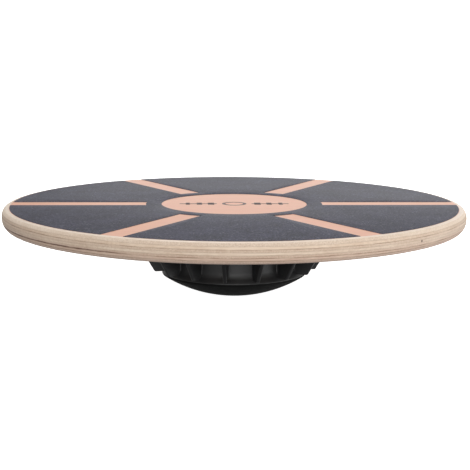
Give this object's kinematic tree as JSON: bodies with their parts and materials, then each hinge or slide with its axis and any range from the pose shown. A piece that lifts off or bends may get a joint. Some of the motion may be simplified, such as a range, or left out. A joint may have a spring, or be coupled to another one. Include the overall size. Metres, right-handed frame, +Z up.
{
  "type": "balance board",
  "caption": "Round wobble board: plywood deck with a die-cut grip sheet, screwed onto a finned dome base with a rubber tread.",
  "frame": {"origin": "middle of the small flat foot of the rocker, on the floor when the board stands level", "axes": "+Z up along the axis of the round deck and base; +X along one pair of the straight windows in the grip sheet; +Y completes a right-handed frame"},
  "size_m": [0.3949, 0.395, 0.0788],
  "materials": {
    "face_veneer": "pinkish veneer, sanded, matt lacquer",
    "cross_veneer": "end grain, sanded, matt lacquer",
    "long_veneer": "side grain, sanded, matt lacquer",
    "back_veneer": "sanded, matt lacquer",
    "grip_abrasive": "fine grit bonded to a film",
    "base_plastic": "satin moulded",
    "tread_rubber": "fine moulded grain",
    "zinc_steel": "bright zinc plating"
  },
  "bodies": {
    "root": {"veneer_1_face": "face_veneer", "veneer_2_cross": "cross_veneer", "veneer_3_long": "long_veneer", "veneer_4_cross": "cross_veneer", "veneer_5_core": "long_veneer", "veneer_6_cross": "cross_veneer", "veneer_7_long": "long_veneer", "veneer_8_cross": "cross_veneer", "veneer_9_back": "back_veneer", "grip_sheet": "grip_abrasive", "base_cup": "base_plastic", "base_flange": "base_plastic", "base_fins": "base_plastic", "base_ribs": "base_plastic", "rocker_pad": "tread_rubber", "deck_screws": "zinc_steel", "screw_washers": "zinc_steel"}
  },
  "joints": []
}
